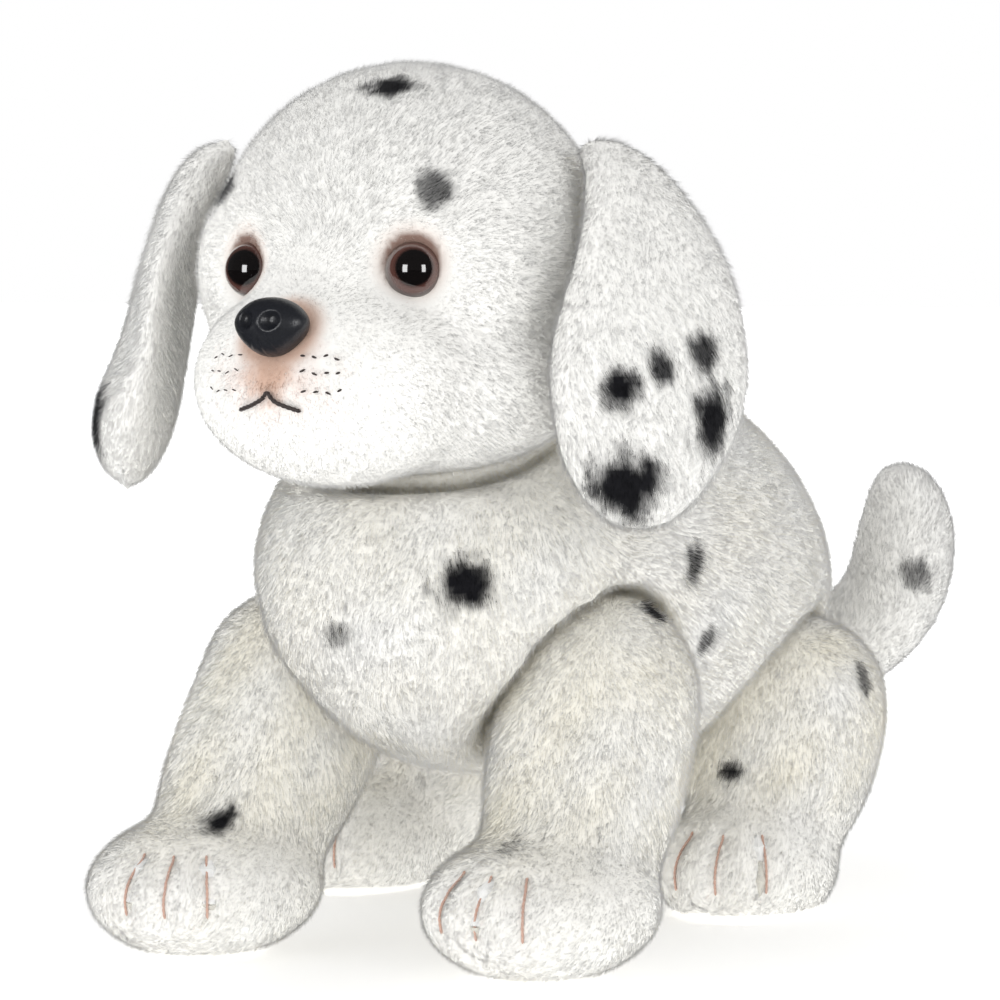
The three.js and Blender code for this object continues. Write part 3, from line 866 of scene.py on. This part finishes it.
def tuft_mesh(name, roots, tips, width, facing, slots, materials):
    """Closed three-sided spikes, one for each tuft, shaded with the cloth that they cover."""
    count = len(roots)
    axis = tips - roots
    axis /= np.linalg.norm(axis, axis=1)[:, None]
    helper = np.where(np.abs(axis[:, 2:3]) < 0.9, (0.0, 0.0, 1.0), (1.0, 0.0, 0.0))
    first = np.cross(axis, helper)
    first /= np.linalg.norm(first, axis=1)[:, None]
    second = np.cross(axis, first)
    points = np.empty((count, 4, 3))
    for k in range(3):
        a = 2 * math.pi * k / 3
        points[:, k] = roots + (first * math.cos(a) + second * math.sin(a)) * (width / 2)[:, None]
    points[:, 3] = tips
    start = 4 * np.arange(count)[:, None, None]
    corners = start + np.array(((0, 1, 3), (1, 2, 3), (2, 0, 3), (2, 1, 0)))
    mesh = bpy.data.meshes.new(name)
    mesh.vertices.add(4 * count)
    mesh.vertices.foreach_set("co", points.ravel())
    mesh.loops.add(12 * count)
    mesh.loops.foreach_set("vertex_index", corners.ravel())
    mesh.polygons.add(4 * count)
    mesh.polygons.foreach_set("loop_start", 3 * np.arange(4 * count))
    used = sorted(set(slots.tolist()))
    for slot in used:
        mesh.materials.append(materials[slot])
    lookup = np.zeros(len(PILE_SLOTS), int)
    lookup[used] = np.arange(len(used))
    mesh.polygons.foreach_set("material_index", np.repeat(lookup[slots], 4))
    mesh.polygons.foreach_set("use_smooth", np.ones(4 * count, bool))
    mesh.update(calc_edges=True)
    mesh.normals_split_custom_set_from_vertices(np.repeat(facing, 4, axis=0).tolist())
    piece = bpy.data.objects.new(name, mesh)
    bpy.context.scene.collection.objects.link(piece)
    return piece


MOST_TUFTS = 48000  # in one object


def grow_pile(body, number):
    """Grows the pile of one skin, in as many objects as it needs."""
    draw = np.random.default_rng(cloth().seed * 100 + number)
    piece = SKINS[body]
    density = cloth().pile_density * 1
    roots, out = roots_on(piece, density, draw)
    on_sole = (roots[:, 2] < 2.5 * MM) & (out[:, 2] < -0.5)
    roots, out = roots[~on_sole], out[~on_sole]
    room = room_for_pile(roots, body)
    kept = room > LEAST_ROOM
    roots, out, room = roots[kept], out[kept], room[kept]
    places = in_pattern(roots)
    flow = flow_at(places, body)
    flow -= out * (flow * out).sum(1)[:, None]
    flow /= np.linalg.norm(flow, axis=1)[:, None] + 1e-9
    count = len(roots)
    lean = cloth().lean + 0.1 * waves(places, 9, 61) + 0.12 * draw.normal(size=count)
    lean -= 0.7 * ramp(room, 0.3, 0.95)  # pile stands up where two pieces meet
    lean = np.clip(lean, 0.15, 1.35)
    stray = draw.normal(size=(count, 3)) * 0.12
    direction = out * np.cos(lean)[:, None] + flow * np.sin(lean)[:, None] + stray
    direction /= np.linalg.norm(direction, axis=1)[:, None]
    length = cloth().pile_length * pile_height(places, body) * draw.uniform(0.7, 1.2, count)
    length *= np.minimum(1, room * 2.2)
    tips = roots + direction * length[:, None]
    tips[:, 2] = np.maximum(tips[:, 2], 0.4 * MM)
    width = cloth().pile_width * draw.uniform(0.75, 1.25, count)
    slots = choose_slots(in_pattern(0.45 * roots + 0.55 * tips), body, room, draw)
    facing = out + 0.15 * direction
    facing /= np.linalg.norm(facing, axis=1)[:, None]
    materials = [pile_material_of(name) for name in PILE_SLOTS]
    order = np.argsort(places[:, 0] + 0.4 * places[:, 1])
    pieces = math.ceil(count / MOST_TUFTS)
    for part, chosen in enumerate(np.array_split(order, pieces)):
        name = f"{body}_pile_{part + 1}"
        sunk = roots[chosen] - out[chosen] * 0.3 * MM
        tufts = tuft_mesh(
            name, sunk, tips[chosen], width[chosen], facing[chosen], slots[chosen], materials
        )
        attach(tufts, body)


def pile_material_of(name):
    known = bpy.data.materials.get(f"plush_pile_{name}")
    return known or pile_material(f"plush_pile_{name}", getattr(colours(), name))


# ---------- operators ----------


class PUPPY_OT_camera(Operator):
    """Sets the camera in front of the puppy's left side"""

    bl_idname = "puppy.camera"
    bl_label = "Camera"

    def execute(self, context):
        stage = studio()
        back, turn = facing_in(stage.azimuth, stage.elevation)
        data = bpy.data.cameras.new("camera")
        data.sensor_width = 36
        data.lens = data.sensor_width * stage.distance / stage.seen_height
        data.dof.use_dof = False
        camera = bpy.data.objects.new("camera", data)
        context.scene.collection.objects.link(camera)
        camera.location = Vector(in_frame(AIM)) + back * stage.distance
        camera.rotation_mode = "QUATERNION"
        camera.rotation_quaternion = turn
        data.clip_start, data.clip_end = 0.05, 60
        context.scene.camera = camera
        return {"FINISHED"}


class PUPPY_OT_torso(Operator):
    """Makes the torso's skin, with hollows for the legs, the neck and the head"""

    bl_idname = "puppy.torso"
    bl_label = "Torso"

    def execute(self, context):
        depth = cloth().skin_depth / MM
        piece = object_of("torso_skin", [soft_form(TORSO, depth, fullness=TORSO_FULLNESS)])
        cutters = [
            object_of(f"room_{name}", [soft_form(leg["column"], -LEG_ROOM, fullness=LEG_FULLNESS)])
            for name, leg in LEGS.items()
        ]
        cutters += [object_of(f"room_head_{k}", [ellipsoid(row)]) for k, row in enumerate(HEAD_ROOMS)]
        remesh(piece, cutters)
        places = in_pattern(coordinates(piece))
        seams = (np.abs(places[:, 0]) < 3) | (np.abs(places[:, 2] - BELLY_SEAM_HEIGHT) < 3)
        fill(piece, seams)
        finish_skin(piece, "torso", "back_panel_left", "back_panel_right", "belly_panel")
        return {"FINISHED"}


class PUPPY_OT_neck(Operator):
    """Makes the neck's skin, which the head hides but for a crease"""

    bl_idname = "puppy.neck"
    bl_label = "Neck"

    def execute(self, context):
        depth = cloth().skin_depth / MM
        radius = NECK_RADIUS - depth
        row = (*PIVOT_IN_PATTERN, radius, radius, radius)
        piece = object_of("neck_skin_cloth", [ellipsoid(row)])
        remesh(piece)
        fill(piece, in_pattern(coordinates(piece))[:, 2] > 150)
        finish_skin(piece, "neck", "neck_skin")
        return {"FINISHED"}


class PUPPY_OT_head(Operator):
    """Makes the head's skin: skull, temples, short wide muzzle, and sockets for the eyes and the nose"""

    bl_idname = "puppy.head"
    bl_label = "Head"

    def execute(self, context):
        depth = cloth().skin_depth / MM - 1.0
        rows = [SKULL, MUZZLE, JAW, BRIDGE, *TEMPLES]
        piece = object_of("head_skin", [ellipsoid(row, depth) for row in rows])
        remesh(piece, voxel=0.0038, smoothing=7)
        places = in_pattern(coordinates(piece))
        gusset = np.abs(np.abs(places[:, 0]) - GUSSET_HALF) < 2.2
        chin = (np.abs(places[:, 2] - CHIN_SEAM_HEIGHT) < 2.2) & (places[:, 1] > -145)
        fill(piece, (gusset & (places[:, 2] > 200)) | chin)
        self.sink_fittings(piece)
        finish_skin(
            piece, "head", "head_side_left", "head_side_right", "head_gusset", "chin_panel"
        )
        return {"FINISHED"}

    def sink_fittings(self, piece):
        """Draws the skin in at the eyes, the nose, the stop above it, the cleft below it and the cheeks."""
        points = coordinates(piece)
        places = in_pattern(points)
        for side in (-1, 1):
            eye = np.array((side * EYE[0], EYE[1], EYE[2]))
            facing = np.array((side * EYE_FACING[0], EYE_FACING[1], EYE_FACING[2]))
            points -= facing * (3.2 * MM * np.exp(-((near(places, eye, (1, 1, 1)) / 10.5) ** 2)))[:, None]
        points[:, 1] += 3.0 * MM * np.exp(-((near(places, NOSE, (1, 1, 1)) / 10) ** 2))
        move_points(piece, points)
        stop = [(x, -138 + 0.02 * x * x, 206) for x in range(-24, 25, 4)]
        press(piece, [stop], 1.6, 4)
        cleft = [(0, -159, z) for z in range(170, 182, 2)]
        press(piece, [cleft], 0.9, 2.5)
        cheek = [(33 + 11 * t, -132 + 22 * t, 196 - 34 * t + 6 * t * t) for t in np.linspace(0, 1, 14)]
        press(piece, [cheek, [(-x, y, z) for x, y, z in cheek]], 1.3, 3.2)


class PUPPY_OT_ears(Operator):
    """Makes the two padded ears"""

    bl_idname = "puppy.ears"
    bl_label = "Ears"

    def execute(self, context):
        depth = cloth().skin_depth / MM
        for side in ("left", "right"):
            piece = object_of(f"ear_{side}_skin", [ear_points(side, depth - 1.2)])
            remesh(piece, voxel=0.0035, smoothing=3)
            places = in_pattern(coordinates(piece))
            sign = 1 if side == "left" else -1
            fill(piece, (places[:, 2] > 236) & (places[:, 0] * sign > 0))
            body = f"ear_{side}"
            finish_skin(piece, body, f"{body}_outer_panel", f"{body}_inner_panel")
        return {"FINISHED"}


class PUPPY_OT_tail(Operator):
    """Makes the thick curled tail"""

    bl_idname = "puppy.tail"
    bl_label = "Tail"

    def execute(self, context):
        depth = cloth().skin_depth / MM
        piece = object_of("tail_skin", [soft_form(TAIL, depth)])
        cutter = object_of("room_torso", [soft_form(TORSO, -TAIL_ROOM, fullness=TORSO_FULLNESS)])
        remesh(piece, [cutter], voxel=0.0038, smoothing=5)
        fill(piece, in_pattern(coordinates(piece))[:, 1] < 124)
        finish_skin(piece, "tail", "tail_back_panel", "tail_front_panel")
        return {"FINISHED"}


class PUPPY_OT_legs(Operator):
    """Makes the four legs, with toes drawn in by their stitches"""

    bl_idname = "puppy.legs"
    bl_label = "Legs"

    def execute(self, context):
        depth = cloth().skin_depth / MM
        for name, leg in LEGS.items():
            foot = (*leg["foot"], *leg["reach"])
            forms = [soft_form(leg["column"], depth, fullness=LEG_FULLNESS), ellipsoid(foot, depth)]
            piece = object_of(f"{name}_skin", forms)
            remesh(piece, voxel=0.004, smoothing=6)
            self.stand(piece)
            places = in_pattern(coordinates(piece))
            fill(piece, places[:, 2] < 3)
            lines = toe_lines(name)
            press(piece, lines, 4.6, 4.4)
            self.stand(piece)
            panels = [f"{name}_{part}" for part in ("outer_panel", "inner_panel", "sole")]
            finish_skin(piece, name, *panels)
        return {"FINISHED"}

    def stand(self, piece):
        """Flattens the sole on the floor."""
        points = coordinates(piece)
        points[:, 2] = np.maximum(points[:, 2], 0.5 * MM)
        move_points(piece, points)


class PUPPY_OT_pile(Operator):
    """Dyes the skins and grows the pile on them"""

    bl_idname = "puppy.pile"
    bl_label = "Pile"

    def execute(self, context):
        ground = plush_ground_material()
        for body, piece in SKINS.items():
            tint_skin(piece, body)
            piece.data.materials.append(ground)
        for number, body in enumerate(SKINS):
            grow_pile(body, number)
        return {"FINISHED"}


class PUPPY_OT_eyes(Operator):
    """Makes the two domed safety eyes"""

    bl_idname = "puppy.eyes"
    bl_label = "Eyes"

    def execute(self, context):
        material = eye_material()
        for side, sign in (("left", 1), ("right", -1)):
            centre = np.array((sign * EYE[0], EYE[1], EYE[2]))
            facing = np.array((sign * EYE_FACING[0], EYE_FACING[1], EYE_FACING[2]))
            facing /= np.linalg.norm(facing)
            points, faces = ellipsoid((0, 0, 0, EYE_RADIUS, EYE_RADIUS, EYE_RADIUS))
            depth = points @ facing
            back = depth < -0.25 * EYE_RADIUS  # the moulded back is flat
            points[back] -= np.outer(depth[back] + 0.25 * EYE_RADIUS, facing)
            piece = object_of(f"eye_{side}_dome", [(points + centre, faces)])
            look = (facing + GAZE) / np.linalg.norm(facing + GAZE)
            ahead = np.clip((points @ look) / EYE_RADIUS, -1, 1)
            layer = piece.data.attributes.new("off_axis", "FLOAT", "POINT")
            layer.data.foreach_set("value", np.where(ahead > 0, np.sqrt(1 - ahead**2), 1.0))
            piece.data.materials.append(material)
            shade_smooth(piece)
            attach(piece, "head")
            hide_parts(f"eye_{side}")
        return {"FINISHED"}


class PUPPY_OT_nose(Operator):
    """Makes the moulded nose with its two nostrils"""

    bl_idname = "puppy.nose"
    bl_label = "Nose"

    def execute(self, context):
        unit, faces = unit_ball(96, 64)
        shape = unit.copy()
        shape[:, 0] *= 1 - 0.24 * ramp(unit[:, 2], -1.0, 0.35)  # narrow below, as a blunt triangle
        points = shape * np.array(NOSE_RADII)
        front = np.clip(-unit[:, 1], 0, 1)
        for side in (-1, 1):
            hole = np.hypot((unit[:, 0] - side * 0.34) / 0.2, (unit[:, 2] - 0.24) / 0.27)
            points[:, 1] += front * (2.4 * np.exp(-(hole**4)) - 0.45 * np.exp(-(((hole - 1.35) / 0.3) ** 2)))
        below = np.clip(0.1 - unit[:, 2], 0, 1)
        for lean in (-0.5, 0, 0.5):
            crease = np.exp(-(((unit[:, 0] - lean * below) / 0.06) ** 2))
            points[:, 1] += front * 0.8 * crease * below
        piece = object_of("nose_moulding", [(points + np.array(NOSE), faces)])
        piece.data.materials.append(nose_material())
        shade_smooth(piece)
        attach(piece, "head")
        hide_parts("nose")
        return {"FINISHED"}


def lay_on(body, line, lift, centre=None):
    """Pattern points moved on to a skin, towards a centre if there is one, and lifted off it."""
    tree = surface_tree(SKINS[body])
    laid = []
    for spot in in_frame(line):
        place, normal, _, _ = tree.find_nearest(Vector(spot))
        if centre is not None:
            inward = Vector(in_frame(centre) - spot)
            place, normal, _, _ = tree.ray_cast(Vector(spot) - inward, inward)
        laid.append(in_pattern(np.array(place + normal * lift * MM)))
    return np.array(laid)


def thread_form(line, radius, plies=2, pitch=1.6):
    """A two-ply thread along pattern points: closed, with the plies winding round it."""
    sides, fine = 10, 6
    count = (len(line) - 1) * fine + 1
    path = spline(line, np.linspace(0, 1, count))
    tangent = np.gradient(path, axis=0)
    tangent /= np.linalg.norm(tangent, axis=1)[:, None]
    helper = np.where(np.abs(tangent[:, 2:3]) < 0.8, (0.0, 0.0, 1.0), (1.0, 0.0, 0.0))
    first = np.cross(tangent, helper)
    first /= np.linalg.norm(first, axis=1)[:, None]
    second = np.cross(tangent, first)
    gone = np.concatenate(([0], np.cumsum(np.linalg.norm(np.diff(path, axis=0), axis=1))))
    taper = np.minimum(1, np.minimum(gone, gone[-1] - gone) / radius * 0.6 + 0.35)
    angles = np.linspace(0, 2 * math.pi, sides, endpoint=False)
    twist = plies * (angles[None] - 2 * math.pi * gone[:, None] / (pitch * plies))
    size = (radius * (1 + 0.16 * np.cos(twist)) * taper[:, None])[:, :, None]
    round_it = first[:, None] * np.cos(angles)[:, None] + second[:, None] * np.sin(angles)[:, None]
    rings = path[:, None] + round_it * size
    faces = []
    for ring in range(count - 1):
        low, high = ring * sides, (ring + 1) * sides
        faces += [(low + k, low + (k + 1) % sides, high + (k + 1) % sides, high + k) for k in range(sides)]
    faces += [tuple(range(sides))[::-1], tuple((count - 1) * sides + k for k in range(sides))]
    return rings.reshape(-1, 3), faces


def thread_piece(name, body, forms, material, slot, *replaced):
    piece = object_of(name, forms)
    piece.data.materials.append(material)
    shade_smooth(piece)
    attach(piece, body)
    if replaced:
        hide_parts(*replaced)
    return piece


class PUPPY_OT_stitches(Operator):
    """Sews the mouth, the whisker marks and the toes"""

    bl_idname = "puppy.stitches"
    bl_label = "Stitches"

    def execute(self, context):
        dark = thread_material("twisted_thread_dark_brown", colours().mouth)
        pale = thread_material("twisted_thread_pinkish_tan", colours().toe)
        mouth = [(11 * share, -162, 171 - 6 * share**0.55) for share in (0, 0.12, 0.3, 0.55, 0.8, 1)]
        strokes = [mouth, [(-x, y, z) for x, y, z in mouth]]
        forms = [thread_form(lay_on("head", stroke, 1.0), 0.6) for stroke in strokes]
        thread_piece("mouth_stitches", "head", forms, dark, "mouth_thread", "mouth_thread")
        marks = []
        for row, height in enumerate((181.5, 176.5, 171)):
            for column in range(4):
                for side in (-1, 1):
                    x = side * (10 + 3.8 * column + 0.5 * row)
                    tilt = 0.5 * math.sin(5 * row + 2.3 * column)
                    dash = [(x + side * t, -160, height - tilt * t) for t in (0, 0.8, 1.7)]
                    marks.append(thread_form(lay_on("head", dash, 1.0), 0.3 if side > 0 else 0.2))
        thread_piece("whisker_stitches", "head", marks, dark, "mouth_thread")
        for name in LEGS:
            foot = LEGS[name]["foot"]
            forms = [thread_form(lay_on(name, line[::3], 0.4, foot), 0.38) for line in toe_lines(name)]
            thread_piece(f"{name}_toe_stitches", name, forms, pale, "toe_thread", f"{name}_toe_thread")
        return {"FINISHED"}


class PUPPY_OT_inside(Operator):
    """Gives the filling, the pouches and the washers their materials"""

    bl_idname = "puppy.inside"
    bl_label = "Inside"

    def execute(self, context):
        fibre = filling_material("polyester_fibre_filling", linear("#f7f7f5"), 5 * MM)
        woven = filling_material("woven_pellet_pouch", linear("#d9d6cc"), 1.2 * MM)
        moulded = filling_material("moulded_polypropylene_washer", linear("#e8e8e4"), 2 * MM)
        for name, node in frame["nodes"].items():
            material = woven if "bean" in name else moulded if "washer" in name else fibre
            node.data.materials.clear()
            node.data.materials.append(material)
        return {"FINISHED"}


class PUPPY_OT_stage(Operator):
    """Sets the pale floor, which glows as painted light and shows dark in reflections, the white surroundings
    and the softboxes
    """

    bl_idname = "puppy.stage"
    bl_label = "Stage"

    def execute(self, context):
        stage, scene = studio(), context.scene
        bpy.ops.mesh.primitive_plane_add(size=40, location=(0, 0, 0))
        floor = context.object
        floor.name = "studio_floor"
        material, tree = new_material("glowing_studio_floor")
        place = add_node(tree, "ShaderNodeTexCoord")
        away = add_node(tree, "ShaderNodeVectorMath", {"operation": "LENGTH"}, {"Vector": (place, "Object")})
        # Painted light: the floor glows. To the camera it is dim near the puppy and brighter than white away
        # from it; to every other ray it glows evenly and lights the puppy from below.
        ray = add_node(tree, "ShaderNodeLightPath")
        glow = add_node(
            tree, "ShaderNodeMapRange", links={"Value": (away, "Value")}, From_Min=0.16, From_Max=0.6,
            To_Min=0.18, To_Max=1.1,
        )
        seen = add_node(
            tree, "ShaderNodeMix", links={"Factor": (ray, "Is Camera Ray"), "B": (glow, "Result")}, A=0.62
        )
        paint_and_glow = add_node(
            tree, "ShaderNodeBsdfPrincipled", links={"Emission Strength": (seen, "Result")},
            Base_Color=opaque(stage.floor), Roughness=0.9, Specular_IOR_Level=0.1,
            Emission_Color=(1, 1, 1, 1),
        )
        # To glossy rays the floor is near black: a painted dark reflection in the eyes and the nose.
        dark = add_node(tree, "ShaderNodeBsdfDiffuse", Color=(0.02, 0.02, 0.02, 1))
        both = add_node(tree, "ShaderNodeMixShader", links={"Fac": (ray, "Is Glossy Ray")})
        tree.links.new(paint_and_glow.outputs[0], both.inputs[1])
        tree.links.new(dark.outputs[0], both.inputs[2])
        add_node(tree, "ShaderNodeOutputMaterial", links={"Surface": (both, 0)})
        floor.data.materials.append(material)
        scene.world = bpy.data.worlds.new("white_surroundings")
        scene.world.use_nodes = True
        self.light_surroundings(scene.world.node_tree, stage.dome)
        for name, azimuth, elevation, size, power in (
            ("softbox_left", -8, 12, (0.4, 0.5), 1.0), ("softbox_right", 68, 12, (0.4, 0.5), 0.8),
            ("softbox_top", 20, 74, (1.4, 1.4), 1.2), ("softbox_far", -80, 10, (1.0, 1.0), 1.4),
            ("glint_left", 0, 8, (0.5, 0.75), 7.5), ("glint_right", 71, 8, (0.42, 0.75), 6.0),
        ):
            light = bpy.data.lights.new(name, "AREA")
            light.shape, light.energy = "RECTANGLE", stage.key * power
            light.size, light.size_y = size
            lamp = bpy.data.objects.new(name, light)
            lamp.visible_glossy = name.startswith("glint")  # the glints only show in the eyes and the nose
            lamp.visible_diffuse = lamp.visible_transmission = not lamp.visible_glossy
            scene.collection.objects.link(lamp)
            back, turn = facing_in(math.radians(azimuth), math.radians(elevation))
            lamp.location = Vector((0, 0, LAMP_AIM_HEIGHT)) + back * LAMP_DISTANCE
            lamp.rotation_mode = "QUATERNION"
            lamp.rotation_quaternion = turn
        scene.view_settings.view_transform = "Standard"
        return {"FINISHED"}

    def light_surroundings(self, tree, dome):
        """White to the eye, softer as light, and dim in the glossy eyes, as a dark studio behind is."""
        tree.nodes.clear()
        ray = add_node(tree, "ShaderNodeLightPath")
        soft = add_node(tree, "ShaderNodeMix", links={"Factor": (ray, "Is Glossy Ray")}, A=dome, B=0.06)
        seen = add_node(
            tree, "ShaderNodeMix", links={"Factor": (ray, "Is Camera Ray"), "A": (soft, "Result")}, B=1.0
        )
        white = add_node(
            tree, "ShaderNodeBackground", links={"Strength": (seen, "Result")}, Color=(1, 1, 1, 1)
        )
        add_node(tree, "ShaderNodeOutputWorld", links={"Surface": (white, 0)})


class PUPPY_PT_panel(Panel):
    """Lists the puppy's pieces in the order that they are made"""

    bl_idname = "PUPPY_PT_panel"
    bl_label = "Plush Puppy"
    bl_space_type = "VIEW_3D"
    bl_region_type = "UI"
    bl_category = "Puppy"

    def draw(self, context):
        column = self.layout.column()
        for operator in OPERATORS:
            column.operator(operator.bl_idname)
        for group in (context.scene.puppy_cloth, context.scene.puppy_colours, context.scene.puppy_stage):
            for name in group.__annotations__:
                column.prop(group, name)


OPERATORS = (
    PUPPY_OT_camera, PUPPY_OT_torso, PUPPY_OT_neck, PUPPY_OT_head, PUPPY_OT_ears, PUPPY_OT_tail,
    PUPPY_OT_legs, PUPPY_OT_eyes, PUPPY_OT_nose, PUPPY_OT_stitches, PUPPY_OT_pile, PUPPY_OT_inside,
    PUPPY_OT_stage,
)
CLASSES = (PuppyCloth, PuppyColours, PuppyStage, *OPERATORS, PUPPY_PT_panel)


def register():
    for cls in CLASSES:
        bpy.utils.register_class(cls)
    bpy.types.Scene.puppy_cloth = PointerProperty(type=PuppyCloth)
    bpy.types.Scene.puppy_colours = PointerProperty(type=PuppyColours)
    bpy.types.Scene.puppy_stage = PointerProperty(type=PuppyStage)


def unregister():
    for name in ("puppy_stage", "puppy_colours", "puppy_cloth"):
        delattr(bpy.types.Scene, name)
    for cls in reversed(CLASSES):
        bpy.utils.unregister_class(cls)


def main():
    register()
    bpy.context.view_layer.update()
    for operator in OPERATORS:
        group, name = operator.bl_idname.split(".")
        getattr(getattr(bpy.ops, group), name)()


if __name__ == "__main__":
    main()
